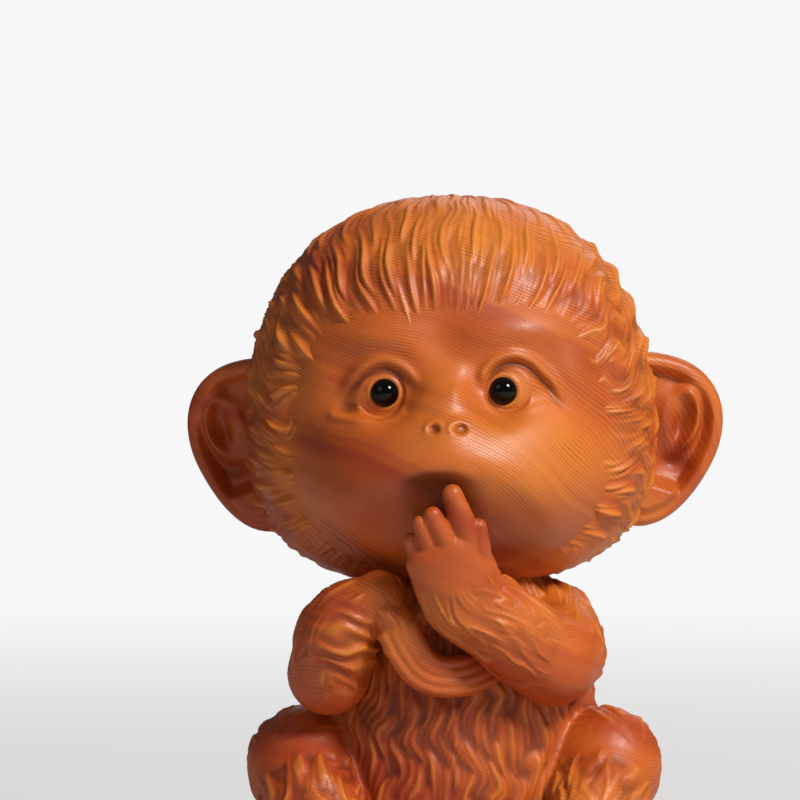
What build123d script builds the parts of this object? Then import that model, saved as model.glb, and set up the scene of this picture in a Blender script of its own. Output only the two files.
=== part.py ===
from build123d import *
import math
import os

# A seated monkey carved from one block of wood, with two glossy eye beads let into its face.
# It sits on a flat sawn base, folds one arm across its chest and holds one finger of the other
# hand against its mouth. +Z is up, -Y is where the monkey looks, and the origin is in the middle
# of the base. Left and right are the monkey's own, so its left side is at +X. Lengths are in
# millimetres, angles in degrees, and a name that ends in share holds parts of another size.

# Head block
head_height = 39.6
head_width = 41.4
head_depth = 35.0
head_turn = 3.0
head_tilt = 1.0
widest_height_share = 0.41
crown_squareness = 2.25
jowl_squareness = 2.7
neck_lap = 1.0

# The fur stands a step above the bare face, outside a rounded opening
fur_step = 0.8
face_width = 33.6
face_height = 26.6
face_corner = 9.6
face_height_share = 0.372

# Its pointed locks lie in over the edge of the opening and sink into the fur behind
lock_count = 22
lock_width = 4.4
lock_length = 9.0
lock_overlap = 2.4
lock_lift = 0.9
lock_sink = 0.6
lock_fall_share = 0.35
lock_bow_share = 0.5
lowest_lock_share = 0.2

# Muzzle, nose and mouth
muzzle_width = 26.0
muzzle_height = 19.0
muzzle_depth = 20.0
muzzle_stand = 4.2
muzzle_height_share = 0.30
muzzle_blend = 4.0
nose_width = 5.6
nose_height = 4.4
nose_stand = 0.9
nose_height_share = 0.42
nostril_diameter = 1.1
nostril_pitch = 2.7
mouth_width = 7.0
mouth_height = 4.4
mouth_depth = 1.6
mouth_height_share = 0.272

# Eyes
eye_pitch = 11.8
eye_height_share = 0.505
socket_width = 10.2
socket_height = 6.8
socket_depth = 1.3
socket_splay = 14.0
eyeball_diameter = 7.8
eyeball_stand = 0.8
eyeball_shift = 0.9
eye_bead_diameter = 3.0
eye_bead_stand = 0.9
eye_bead_clearance = 0.1
lid_thickness = 0.5
upper_lid_lift = 28.0
upper_lid_tilt = 12.0
lower_lid_drop = 25.0
lower_lid_tilt = 5.0
brow_width = 12.4
brow_height = 5.2
brow_depth = 8.4
brow_stand = 0.8
brow_lift = 5.2

# Ears
ear_height = 17.8
ear_width = 13.2
ear_thickness = 4.8
ear_rim = 1.6
ear_hollow_depth = 1.8
ear_fold_depth = 1.3
concha_depth = 1.6
ear_height_share = 0.385
ear_reach = 6.3
ear_setback = 1.5
ear_splay = 14.0
ear_lean = 11.0

# Torso
body_height = 31.4
torso_width = 29.4
torso_depth = 25.6
torso_squareness = 2.6
belly_height_share = 0.36
neck_rise = 3.0
seat_drop = 6.6
hunch_width = 25.0
hunch_depth = 18.0
hunch_height = 21.0
hunch_stand = 2.2
hunch_height_share = 0.66

# Arms and hands
upper_arm_thickness = 9.6
elbow_thickness = 9.0
forearm_thickness = 8.6
wrist_thickness = 6.0
palm_width = 8.4
palm_thickness = 4.4
finger_thickness = 2.6
finger_length = 6.6
folded_arm_thickness = 8.4
folded_wrist_thickness = 5.2
folded_hand_width = 4.6
folded_hand_thickness = 3.8

# Legs, feet and tail
thigh_thickness = 13.0
knee_thickness = 11.8
ankle_thickness = 6.4
foot_length = 10.0
foot_width = 6.6
foot_height = 4.4
toe_thickness = 2.0
toe_count = 4
tail_thickness = 4.2
tail_tip_thickness = 2.4

overrun = 1.0


# Rings are taken at equal angles from the widest one, and the last one closes with a tiny flat
end_ring_angle = 86


def egg(width, depth, above, below, square_above=2.0, square_below=2.0, rings=9):
    """An egg, widest at height zero: oval rings lofted through a superellipse."""
    sections = []
    for ring in range(rings):
        angle = math.radians(end_ring_angle) * (2 * ring / (rings - 1) - 1)
        square, rise = (square_above, above) if angle > 0 else (square_below, below)
        height = rise * math.copysign(abs(math.sin(angle)) ** (2 / square), angle)
        across = math.cos(angle) ** (2 / square)
        sections.append(Plane.XY.offset(height) * Ellipse(width / 2 * across, depth / 2 * across))
    return loft(sections)


def oval(half_width, half_depth, half_height):
    """A ball drawn out to three half sizes."""
    return egg(2 * half_width, 2 * half_depth, half_height, half_height, rings=11)


def egg_share(height, above, below, square_above=2.0, square_below=2.0):
    """How wide such an egg is at a height, as a share of its widest ring."""
    square, rise = (square_above, above) if height > 0 else (square_below, below)
    reach = min(abs(height) / rise, 1)
    return (1 - reach**square) ** (1 / square)


def bow(half_width, half_depth, across):
    """How far an oval of two half sizes bows out at a place across it."""
    return half_depth * math.sqrt(max(1 - (across / half_width) ** 2, 0)) if half_width > 0 else 0


def eased(values, share):
    """The value at a share along an evenly spaced list, eased from each entry to the next."""
    place = share * (len(values) - 1)
    first = min(int(place), len(values) - 2)
    ease = (1 - math.cos(math.pi * (place - first))) / 2
    return values[first] * (1 - ease) + values[first + 1] * ease


end_bow_angles = (34, 62, 86)


def limb(points, widths, thicknesses=None, side=(0, 1, 0)):
    """A tapered limb with round ends: ovals lofted along a smooth line.

    The thicknesses run along side and the widths square to it. Past each end of the line, the
    ovals shrink as rings of a ball do.
    """
    thicknesses = thicknesses or widths
    rings = max(len(points), len(widths))
    line = Spline(*points) if len(points) > 2 else Line(*points)
    stations = [(0, -angle) for angle in reversed(end_bow_angles)]
    stations += [(ring / (rings - 1), 0) for ring in range(rings)]
    stations += [(1, angle) for angle in end_bow_angles]
    sections = []
    for share, angle in stations:
        width, thickness = eased(widths, share) / 2, eased(thicknesses, share) / 2
        heading = line % share
        middle = (line @ share) + heading * (min(width, thickness) * math.sin(math.radians(angle)))
        shrink = math.cos(math.radians(angle))
        ring_plane = Plane(origin=middle, x_dir=side, z_dir=heading)
        sections.append(ring_plane * Ellipse(thickness * shrink, width * shrink))
    return loft(sections)


def both_sides(shape):
    """A shape and its mirror image on the other side of the figure."""
    return [shape, mirror(shape, Plane.YZ)]


# The head has its own frame, with the origin under the chin, before it turns and tilts
head_place = Location((0, 0, body_height - neck_lap), (0, -head_tilt, -head_turn))
widest_z = head_height * widest_height_share
skull_width = head_width - 2 * fur_step
skull_depth = head_depth - 2 * fur_step
crown_rise = head_height - widest_z - fur_step
jaw_drop = widest_z - fur_step
muzzle_y = (muzzle_depth - skull_depth) / 2 - muzzle_stand
muzzle_z = head_height * muzzle_height_share


def face_front(across, height):
    """Where the front of the bare skull or muzzle lies, at a place on the face."""
    share = egg_share(height - widest_z, crown_rise, jaw_drop, crown_squareness, jowl_squareness)
    skull_front = bow(skull_width / 2 * share, skull_depth / 2 * share, across)
    share = egg_share(height - muzzle_z, muzzle_height / 2, muzzle_height / 2)
    muzzle_front = bow(muzzle_width / 2 * share, muzzle_depth / 2 * share, across) - muzzle_y
    return -max(skull_front, muzzle_front)


# The face is drawn in a plane that looks forward from inside the head
face_place = Pos(0, muzzle_y / 2, head_height * face_height_share) * Rot(90, 0, 0)


def bare_head():
    """The smooth skull, with the muzzle and puffed cheeks swelling softly from it."""
    skull = egg(skull_width, skull_depth, crown_rise, jaw_drop, crown_squareness, jowl_squareness)
    muzzle = oval(muzzle_width / 2, muzzle_depth / 2, muzzle_height / 2)
    skull, muzzle = Pos(0, 0, widest_z) * skull, Pos(0, muzzle_y, muzzle_z) * muzzle
    block = skull + muzzle
    return fillet(new_edges(skull, muzzle, combined=block), muzzle_blend)


def cap_blank():
    """The fur over the whole head, one step proud of the skull and not yet opened."""
    blank = egg(
        head_width,
        head_depth,
        crown_rise + fur_step,
        jaw_drop + fur_step,
        crown_squareness,
        jowl_squareness,
    )
    return Pos(0, 0, widest_z) * blank


def lock(tip, root):
    """The outline of one lock of fur, pointed at both ends and bowed a little."""
    middle = (tip + root) / 2
    aside = (root - tip).normalized().rotate(Axis.Z, 90) * lock_width / 2
    low_side = ThreePointArc(tip, middle + aside * (1 + lock_bow_share), root)
    high_side = ThreePointArc(root, middle - aside * (1 - lock_bow_share), tip)
    return make_face(low_side + high_side)


def fur_locks():
    """Locks round the face, from a shell set forward and down so that they sink in behind."""
    hairline = RectangleRounded(face_width, face_height, face_corner).wire()
    face_low_z = head_height * (lowest_lock_share - face_height_share)
    outlines = []
    for number in range(lock_count):
        edge = hairline @ (number / lock_count)
        outward = (hairline % (number / lock_count)).rotate(Axis.Z, -90)
        lie = (outward + Vector(0, lock_fall_share)).normalized()
        tip = edge - lie * lock_overlap
        if tip.Y > face_low_z:
            outlines.append(lock(tip, tip + lie * lock_length))
    shell = Pos(0, -lock_lift, -lock_sink) * cap_blank()
    return [shell & (face_place * extrude(outline, head_depth, both=True)) for outline in outlines]


def fur_cap():
    """The fur over the whole head, open over the face, with its locks."""
    opening = extrude(RectangleRounded(face_width, face_height, face_corner), head_depth)
    return cap_blank() - face_place * opening + fur_locks()


# The bead stands proud of the wooden eyeball, which stands in a shallow socket
eye_x = eye_pitch / 2
eye_z = head_height * eye_height_share
eyeball_x = eye_x + eyeball_shift
socket_y = face_front(eye_x, eye_z)
eyeball_y = socket_y + socket_depth - eyeball_stand
bead_y = eyeball_y + eye_bead_diameter / 2 - eye_bead_stand


def brow():
    """The bony ridge over the left eye, lower towards its outer end."""
    height = eye_z + brow_lift
    across = eyeball_x
    depth = face_front(across, height) + brow_depth / 2 - brow_stand
    ridge = oval(brow_width / 2, brow_depth / 2, brow_height / 2)
    return Pos(across, depth, height) * Rot(0, upper_lid_tilt, socket_splay) * ridge


def eye_socket():
    """The hollow that the left eye lies in."""
    hollow = oval(socket_width / 2, socket_depth, socket_height / 2)
    return Pos(eyeball_x, socket_y, eye_z) * Rot(0, lower_lid_tilt, socket_splay) * hollow


def eye():
    """The left wooden eyeball between its lids, which are thin shells that part at the corners."""
    lid_ball = Sphere(eyeball_diameter / 2 + lid_thickness)
    above = Box(*[head_width] * 3, align=(Align.CENTER, Align.CENTER, Align.MIN))
    below = Box(*[head_width] * 3, align=(Align.CENTER, Align.CENTER, Align.MAX))
    upper_lid = lid_ball & (Rot(-upper_lid_lift, upper_lid_tilt, 0) * above)
    lower_lid = lid_ball & (Rot(lower_lid_drop, lower_lid_tilt, 0) * below)
    middle = Pos(eyeball_x, eyeball_y + eyeball_diameter / 2, eye_z)
    return middle * (Sphere(eyeball_diameter / 2) + upper_lid + lower_lid)


def eye_bore():
    """The round blind hole for the left bead, drilled straight back to a flat floor."""
    radius = eye_bead_diameter / 2 + eye_bead_clearance
    mouth_of_bore = eyeball_y - lid_thickness - overrun
    depth = bead_y + radius - mouth_of_bore
    drill = Cylinder(radius, depth, align=(Align.CENTER, Align.CENTER, Align.MIN))
    return Pos(eye_x, mouth_of_bore, eye_z) * Rot(-90, 0, 0) * drill


nose_z = head_height * nose_height_share
nose_y = face_front(0, nose_z) - nose_stand
mouth_z = head_height * mouth_height_share
mouth_y = face_front(0, mouth_z)


def nose():
    """A low button nose with two small nostrils."""
    button = oval(nose_width / 2, nose_height / 2, nose_height / 2)
    front = bow(nose_width / 2, nose_height / 2, nostril_pitch / 2)
    nostril = Pos(nostril_pitch / 2, -front, 0) * Sphere(nostril_diameter / 2)
    for hole in both_sides(nostril):
        button -= hole
    return Pos(0, nose_y + nose_height / 2, nose_z) * button


def mouth():
    """The hollow between the lips, where the finger rests."""
    return Pos(0, mouth_y, mouth_z) * oval(mouth_width / 2, mouth_depth, mouth_height / 2)


# The ear has its own frame: its middle at the origin, its hollow at -Y, its outer edge at +X
ear_top_share = 0.46
ear_top_squareness = 2.2
ear_lobe_squareness = 1.9
ear_fold_share = 0.70
concha_share = 0.74
lobe_rim_share = 1.6


def ear_blank(width, depth, rim):
    """The outline of the ear, drawn in by a rim, as a thin egg."""
    above = ear_height * ear_top_share - rim
    below = ear_height * (1 - ear_top_share) - rim * lobe_rim_share
    return egg(width, depth, above, below, ear_top_squareness, ear_lobe_squareness)


def ear():
    """A cupped ear: a dish inside a rolled rim, and a raised fold round its inner hollow."""
    inner_width = ear_width - 2 * ear_rim
    seat = bow(ear_width / 2, ear_thickness / 2, inner_width / 2)
    shell = ear_blank(ear_width, ear_thickness, 0)
    shell -= Pos(0, -seat, 0) * ear_blank(inner_width, 2 * ear_hollow_depth, ear_rim)
    fold_width = inner_width * ear_fold_share
    fold_height = ear_height * (1 - ear_top_share) * ear_fold_share
    floor = ear_hollow_depth - seat
    inward = (inner_width - fold_width) / 2
    fold = oval(fold_width / 2, ear_fold_depth, fold_height / 2)
    hollow = oval(fold_width / 2 * concha_share, concha_depth, fold_height / 2 * concha_share)
    shell += Pos(-inward, floor, 0) * fold
    return shell - Pos(-inward - ear_rim / 2, floor - ear_fold_depth, -ear_rim / 2) * hollow


def placed_ear():
    """The left ear, growing from the side of the head."""
    across = head_width / 2 + ear_reach - ear_width / 2
    height = head_height * ear_height_share
    return Pos(across, ear_setback, height) * Rot(0, ear_lean, ear_splay) * ear()


def head():
    """The whole head, turned and tilted on the neck."""
    block = bare_head() + fur_cap() + both_sides(brow())
    block -= [*both_sides(eye_socket()), mouth()]
    block += [*both_sides(eye()), nose()]
    block -= both_sides(eye_bore())
    return head_place * (block + both_sides(placed_ear()))


belly_z = body_height * belly_height_share
neck_top = body_height - belly_z + neck_rise


def torso():
    """The barrel of the body, from inside the head to below the base, with its hunched back."""
    below = belly_z + seat_drop
    barrel = egg(torso_width, torso_depth, neck_top, below, torso_squareness, torso_squareness)
    hunch = oval(hunch_width / 2, hunch_depth / 2, hunch_height / 2)
    hunch_y = (torso_depth - hunch_depth) / 2 + hunch_stand
    return Pos(0, 0, belly_z) * barrel + Pos(0, hunch_y, body_height * hunch_height_share) * hunch


def on_torso(shares):
    """Points given by shares of the torso's half width, half depth to the front, and height."""
    return [
        Vector(across * torso_width / 2, -forward * torso_depth / 2, up * body_height)
        for across, forward, up in shares
    ]


# The raised hand is laid out from the mouth, in shares of a palm's width and a finger's length:
# the root and the tip of each finger as across, forward and up, and how thick it is
mouth_point = (head_place * Pos(0, mouth_y, mouth_z)).position
index_shares = ((0.28, -0.16, -0.84), (0.10, 0.04, -0.12), 1.00)
middle_shares = ((0.10, -0.19, -1.06), (-0.16, 0.09, -0.45), 0.92)
ring_shares = ((-0.12, -0.22, -1.16), (-0.31, 0.04, -0.58), 0.80)
little_shares = ((-0.30, -0.33, -1.26), (-0.43, -0.13, -0.82), 0.68)
thumb_shares = ((0.42, -0.31, -1.14), (0.39, -0.08, -0.63), 0.86)
knuckle_shares = (-0.03, -0.18, -0.98)
wrist_shares = (0.16, -0.55, -1.72)
fingertip_share = 0.84

raised_arm_shares = [(0.66, 0.10, 0.83), (0.72, 0.55, 0.77), (0.66, 0.90, 0.74)]
folded_arm_shares = [(-0.58, 0.10, 0.86), (-0.78, 0.48, 0.78), (-0.86, 0.76, 0.70)]
folded_forearm_shares = [(-0.86, 0.80, 0.70), (-0.76, 1.02, 0.86), (-0.52, 1.12, 0.955)]
folded_hand_shares = [
    (-0.50, 1.12, 0.965),
    (-0.42, 1.22, 0.87),
    (-0.32, 1.20, 0.775),
    (-0.15, 1.12, 0.69),
    (0.10, 1.02, 0.65),
]


def hand_point(shares):
    """A place on the raised hand, from shares across, forward and up from the mouth."""
    across, forward, up = shares
    return mouth_point + Vector(palm_width * across, -finger_length * forward, finger_length * up)


def finger(shares):
    """One finger of the raised hand, from its root to its tip."""
    root, tip, thickness_share = shares
    width = finger_thickness * thickness_share
    return limb([hand_point(root), hand_point(tip)], (width, width, width * fingertip_share))


def raised_arm():
    """The arm whose finger touches the mouth, with its palm, four fingers and thumb."""
    shoulder, middle, elbow = on_torso(raised_arm_shares)
    wrist, knuckles = hand_point(wrist_shares), hand_point(knuckle_shares)
    arm = limb(
        [shoulder, middle, elbow],
        (upper_arm_thickness, upper_arm_thickness, elbow_thickness),
        side=(1, 0, 0),
    )
    arm += limb(
        [elbow, (elbow + wrist) / 2, wrist],
        (elbow_thickness, forearm_thickness, palm_width),
        (elbow_thickness, forearm_thickness, wrist_thickness),
    )
    arm += limb([wrist, knuckles], (palm_width, palm_width), (wrist_thickness, palm_thickness))
    for shares in (index_shares, middle_shares, ring_shares, little_shares, thumb_shares):
        arm += finger(shares)
    return arm


def folded_arm():
    """The arm folded up in front of the chest, with its hand hanging across it."""
    arm = limb(on_torso(folded_arm_shares), [folded_arm_thickness] * 3, side=(1, 0, 0))
    arm += limb(
        on_torso(folded_forearm_shares),
        (folded_arm_thickness, folded_arm_thickness, folded_wrist_thickness),
    )
    return arm + limb(
        on_torso(folded_hand_shares),
        (folded_wrist_thickness, folded_hand_width, folded_hand_thickness),
        (folded_hand_thickness, folded_hand_thickness, folded_hand_thickness),
    )


thigh_shares = [(0.55, -0.12, 0.32), (0.85, 0.18, 0.37), (1.03, 0.42, 0.395)]
shin_shares = [(1.02, 0.46, 0.37), (0.92, 0.92, 0.24), (0.66, 1.12, 0.12)]
heel_shares = (0.60, 0.98, 0.064)
ball_shares = (-0.12, 0.62, -0.03)
toe_shares = (-0.02, 0.24, -0.08)
big_toe_root_shares = (-0.20, 0.30, 0)
big_toe_shares = (-0.25, 0.26, -0.04)


def on_foot(start, shares):
    """A place from another one on the foot, in shares of its length, and of its height up."""
    across, forward, up = shares
    return start + Vector(foot_length * across, -foot_length * forward, foot_height * up)


def leg():
    """The left leg: thigh, shin, and a flat foot with four toes and a thumb-like big toe."""
    whole = limb(
        on_torso(thigh_shares),
        (thigh_thickness, thigh_thickness, knee_thickness),
        side=(0, 0, 1),
    )
    whole += limb(
        on_torso(shin_shares),
        (knee_thickness, (knee_thickness + ankle_thickness) / 2, ankle_thickness),
        side=(1, 0, 0),
    )
    heel = on_torso([heel_shares])[0]
    ball = on_foot(heel, ball_shares)
    whole += limb(
        [heel, ball],
        (foot_height, foot_height),
        (ankle_thickness, foot_width),
        side=(1, 0, 0),
    )
    toe_pitch = (foot_width - toe_thickness) / (toe_count - 1)
    for number in range(toe_count):
        root = ball + Vector(toe_pitch * (number - (toe_count - 1) / 2), 0, 0)
        whole += limb([root, on_foot(root, toe_shares)], [toe_thickness] * 2)
    root = on_foot(heel, big_toe_root_shares)
    return whole + limb([root, on_foot(root, big_toe_shares)], [toe_thickness] * 2)


tail_start_angle = -8
tail_end_angle = 96
tail_points = 6
tail_level_shares = (0.9, 0.46)
tail_sunk_share = 0.28


def tail():
    """The tail, laid in relief round the left hip at the base."""
    below = belly_z + seat_drop
    line = []
    for number in range(tail_points):
        share = number / (tail_points - 1)
        around = math.radians(tail_start_angle + (tail_end_angle - tail_start_angle) * share)
        level = tail_thickness * eased(tail_level_shares, share)
        ring = egg_share(level - belly_z, neck_top, below, torso_squareness, torso_squareness)
        out = tail_thickness * tail_sunk_share
        across = (torso_width / 2 * ring + out) * math.sin(around)
        back = (torso_depth / 2 * ring + out) * math.cos(around)
        line.append((across, back, level))
    return limb(line, (tail_thickness, tail_thickness, tail_tip_thickness), side=(0, 0, 1))


def carved_monkey():
    """The whole block of wood, sawn flat at the base."""
    block = torso() + tail()
    for side_leg in both_sides(leg()):
        block += side_leg
    block += folded_arm()
    block += raised_arm()
    block += head()
    size = block.bounding_box().size
    below_base = (Align.CENTER, Align.CENTER, Align.MAX)
    return block - Box(2 * size.X, 2 * size.Y, body_height, align=below_base)


def eye_bead(side):
    """A glossy ball in its bore, in the monkey's left eye for side 1 and its right for side -1."""
    return head_place * Pos(side * eye_x, bead_y, eye_z) * Sphere(eye_bead_diameter / 2)


if __name__ == "__main__":
    os.makedirs("parts", exist_ok=True)
    figure = carved_monkey()
    middle = figure.bounding_box().center()
    centred = Pos(-middle.X, -middle.Y, 0)
    export_step(centred * figure, "parts/carved_monkey.step")
    export_step(centred * eye_bead(1), "parts/left_eye_bead.step")
    export_step(centred * eye_bead(-1), "parts/right_eye_bead.step")
    print("wood", round(figure.volume), "mm3,", len(figure.solids()), "solid, valid", figure.is_valid)
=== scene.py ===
import math
import bpy
import numpy as np
from mathutils import Matrix, Vector


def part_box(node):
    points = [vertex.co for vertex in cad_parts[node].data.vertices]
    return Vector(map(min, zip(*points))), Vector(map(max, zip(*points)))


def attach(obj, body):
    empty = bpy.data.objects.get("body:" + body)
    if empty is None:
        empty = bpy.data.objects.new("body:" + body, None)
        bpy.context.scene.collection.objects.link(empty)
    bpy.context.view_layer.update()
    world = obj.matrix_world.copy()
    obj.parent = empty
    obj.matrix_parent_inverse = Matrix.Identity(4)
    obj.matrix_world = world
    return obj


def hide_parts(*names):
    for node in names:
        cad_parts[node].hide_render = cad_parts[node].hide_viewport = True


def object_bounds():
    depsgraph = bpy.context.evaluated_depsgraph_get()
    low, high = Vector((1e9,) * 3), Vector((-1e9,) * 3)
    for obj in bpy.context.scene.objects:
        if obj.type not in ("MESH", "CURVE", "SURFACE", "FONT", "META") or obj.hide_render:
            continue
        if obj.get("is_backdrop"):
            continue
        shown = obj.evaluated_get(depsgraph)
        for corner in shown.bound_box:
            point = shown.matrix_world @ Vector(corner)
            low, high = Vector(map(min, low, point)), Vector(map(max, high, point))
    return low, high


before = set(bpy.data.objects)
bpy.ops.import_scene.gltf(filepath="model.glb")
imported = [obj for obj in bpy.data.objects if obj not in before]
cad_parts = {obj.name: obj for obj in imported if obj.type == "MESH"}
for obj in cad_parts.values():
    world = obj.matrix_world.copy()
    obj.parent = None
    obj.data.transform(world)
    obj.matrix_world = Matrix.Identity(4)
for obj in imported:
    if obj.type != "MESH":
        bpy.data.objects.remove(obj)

# A seated monkey carved from one block of warm orange wood, with glossy eye beads.
# Shapes are worked out in millimetres in the carving's own frame, and moved into the CAD frame
# when they become meshes. The head has its own frame, with its origin under the chin.
cadLow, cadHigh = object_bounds()
print("frame loaded")


# Small tools

# A repeatable random number from 0 to 1 for whole-number cells
def hashed(seed, *cells):
    mixed = np.full(np.shape(cells[0]), seed * 7919 + 17, np.int64)
    for cell in cells:
        mixed = (mixed * 73856093) ^ (np.asarray(cell, np.int64) * 19349663 + 83492791)
        mixed = (mixed ^ (mixed >> 13)) & 0xFFFFFFFF
    mixed = (mixed * 1274126177) & 0xFFFFFFFF
    mixed = mixed ^ (mixed >> 15)
    return (mixed & 0xFFFF) / 65536


# Zero below the low end, one above the high end, and smooth between, as 3 t2 - 2 t3
def ease(low, high, value):
    share = np.clip((value - low) / (high - low), 0, 1)
    return share * share * (3 - 2 * share)


# Random values on a square grid, eased from each corner to the next, from -1 to 1.
# With a period, the grid repeats along x.
def softNoise(seed, x, y, period=0):
    column, row = np.floor(x), np.floor(y)
    shareX, shareY = ease(0, 1, x - column), ease(0, 1, y - row)
    after = column + 1
    if period:
        column, after = column % period, after % period
    near = hashed(seed, column, row) * (1 - shareX) + hashed(seed, after, row) * shareX
    far = hashed(seed, column, row + 1) * (1 - shareX) + hashed(seed, after, row + 1) * shareX
    return 2 * (near * (1 - shareY) + far * shareY) - 1


# One at zero, falling away on both sides
def bell(value, power=2):
    return np.exp(-(np.abs(value) ** power))


# A bell over two directions
def bump(x, y, centreX, centreY, sizeX, sizeY, power=2):
    return np.exp(-((((x - centreX) / sizeX) ** 2 + ((y - centreY) / sizeY) ** 2) ** (power / 2)))


# A soft larger-of-two: it swells where the two values are nearer than the blend
def softMax(first, second, blend):
    near = np.clip(1 - np.abs(first - second) / blend, 0, 1)
    return np.maximum(first, second) + near * near * blend / 4


# A smooth line through the points, as a Catmull-Rom curve, with its lengths and headings
def smoothLine(points, steps=24):
    points = np.array(points, float)
    ends = np.concatenate([[2 * points[0] - points[1]], points, [2 * points[-1] - points[-2]]])
    share = np.linspace(0, 1, steps, endpoint=False)[:, None]
    runs = []
    for k in range(1, len(points)):
        a, b, c, d = ends[k - 1], ends[k], ends[k + 1], ends[k + 2]
        bow = 2 * a - 5 * b + 4 * c - d + share * (3 * (b - c) + d - a)
        runs.append(b + 0.5 * share * (c - a + share * bow))
    line = np.concatenate(runs + [points[-1:]])
    heading = np.gradient(line, axis=0)
    heading /= np.linalg.norm(heading, axis=1, keepdims=True)
    lengths = np.concatenate([[0], np.cumsum(np.linalg.norm(np.diff(line, axis=0), axis=1))])
    return line, heading, lengths


# Turns points by R = Rx Ry Rz and then moves them
def placed(points, move=(0, 0, 0), turns=(0, 0, 0)):
    turn = np.eye(3)
    for degrees, axis in zip(turns, "XYZ"):
        turn = turn @ np.array(Matrix.Rotation(math.radians(degrees), 3, axis))
    return points @ turn.T + np.array(move, float)


# Frames

headFrame = {"move": (0, 0, 30.4), "turns": (0, -1.0, -3.0)}
beadSeat = {"x": 5.9, "y": -14.71, "z": 20.0, "radius": 1.5}


def fromHead(points):
    return placed(points, headFrame["move"], headFrame["turns"])


boxes = [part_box("left_eye_bead"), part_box("right_eye_bead")]
beadsMiddle = np.mean([np.array((low + high) / 2) for low, high in boxes], axis=0) * 1000
carvingShift = beadsMiddle - fromHead(np.array([[0, beadSeat["y"], beadSeat["z"]]]))[0]


def toFrame(points):
    return (points + carvingShift) / 1000


# Meshes

# Quads between the rows and columns of a grid of points. Closed columns join the last column
# to the first.
def gridFaces(rows, columns, closed):
    last = columns if closed else columns - 1
    row, column = np.meshgrid(np.arange(rows - 1), np.arange(last), indexing="ij")
    after = (column + 1) % columns
    corners = (row * columns + column, row * columns + after,
               (row + 1) * columns + after, (row + 1) * columns + column)
    return np.stack(corners, axis=-1).reshape(-1, 4)


# Triangles that close a loop of points to its middle one
def fanFaces(loop, middle):
    return np.stack([loop, np.roll(loop, -1), np.full(len(loop), middle)], axis=-1)


# A closed surface from a grid that is closed round its columns, and a point for each open end
def closedGrid(points, firstPoint, lastPoint):
    rows, columns, _ = points.shape
    flat = np.concatenate([points.reshape(-1, 3), [firstPoint, lastPoint]])
    quads = gridFaces(rows, columns, True)
    first = fanFaces(np.arange(columns)[::-1], rows * columns)
    last = fanFaces(np.arange(columns) + (rows - 1) * columns, rows * columns + 1)
    return flat, [quads, first, last]


# The volume inside the faces, below zero where they point inwards
def signedVolume(points, faceSets):
    total = 0.0
    for faces in faceSets:
        for third in range(2, faces.shape[1]):
            a, b, c = points[faces[:, 0]], points[faces[:, third - 1]], points[faces[:, third]]
            total += np.einsum("ij,ij->", a, np.cross(b, c)) / 6
    return total


# Faces turned to point outwards
def outward(points, faceSets):
    if signedVolume(points, faceSets) > 0:
        return faceSets
    return [faces[:, ::-1] for faces in faceSets]


def addObject(name, data):
    made = bpy.data.objects.new(name, data)
    bpy.context.scene.collection.objects.link(made)
    return made


# The last argument is a tone at each point, mostly the carving's depth in millimetres, which the
# wood's material paints as shade below zero and as a highlight above zero
def makeObject(name, points, faceSets, relief=None):
    faceSets = outward(points, faceSets)
    mesh = bpy.data.meshes.new(name)
    mesh.vertices.add(len(points))
    mesh.vertices.foreach_set("co", toFrame(points).astype(np.float32).ravel())
    loops = np.concatenate([faces.ravel() for faces in faceSets])
    sizes = np.concatenate([np.full(len(faces), faces.shape[1]) for faces in faceSets])
    mesh.loops.add(len(loops))
    mesh.loops.foreach_set("vertex_index", loops.astype(np.int32))
    mesh.polygons.add(len(sizes))
    starts = np.concatenate([[0], np.cumsum(sizes)[:-1]]).astype(np.int32)
    mesh.polygons.foreach_set("loop_start", starts)
    mesh.polygons.foreach_set("use_smooth", np.ones(len(sizes), bool))
    mesh.update(calc_edges=True)
    mesh.validate()
    relief = np.zeros(len(points)) if relief is None else relief
    attribute = mesh.attributes.new("relief", "FLOAT", "POINT")
    attribute.data.foreach_set("value", relief.astype(np.float32))
    print(name, "made,", len(sizes), "faces")
    return addObject(name, mesh)


# Fur

# Strokes are crisp ridges with hollow valleys between them. Lanes run with the fur, and each is
# cut into strokes, from a pointed tip to a root that fades. A stroke's height is that of a sharp
# crest at its middle line, which hooks to one side near the tip. Strokes whose tips would lie
# beyond the last place for one are left out. Gives shares of a full stroke.
def laneStrokes(across, along, lanes, length, look, seed, lastTip):
    lane = np.floor(across)
    inLane = across - lane
    lane = lane % lanes
    shift = length * (0.5 * (lane % 2) + 0.45 * hashed(seed, lane))
    place = (along + shift) / length
    row = np.floor(place)
    share = place - row
    size = 0.7 + 0.5 * hashed(seed + 1, lane, row)
    hook = look["hook"] * (hashed(seed + 2, lane, row) - 0.3) * (1 - share) ** 2
    width = look["width"] * (0.30 + 0.70 * np.sin(math.pi * share ** 0.55))
    offset = np.abs(inLane - 0.5 - hook) * 2 / width
    crest = np.exp(look["sharp"] * (0.16 - np.sqrt(offset ** 2 + 0.025)))
    window = 1 - (np.abs(inLane - 0.5) * 2) ** 6
    rise = ease(0, look["tip"], share) * (1 - 0.75 * ease(0.45, 1, share))
    return size * crest * window * rise * (row * length - shift > lastTip)


# Two sets of lanes, half a lane apart, the second one lower, so its strokes show between
def furStrokes(across, along, lanes, length, look, seed, lastTip=-1e9):
    first = laneStrokes(across, along, lanes, length, look, seed, lastTip)
    second = laneStrokes(across + 0.5, along + 0.27 * length, lanes, length, look, seed + 7, lastTip)
    return np.maximum(first, 0.55 * second) + 0.2 * np.minimum(first, second)


# Head

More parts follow.
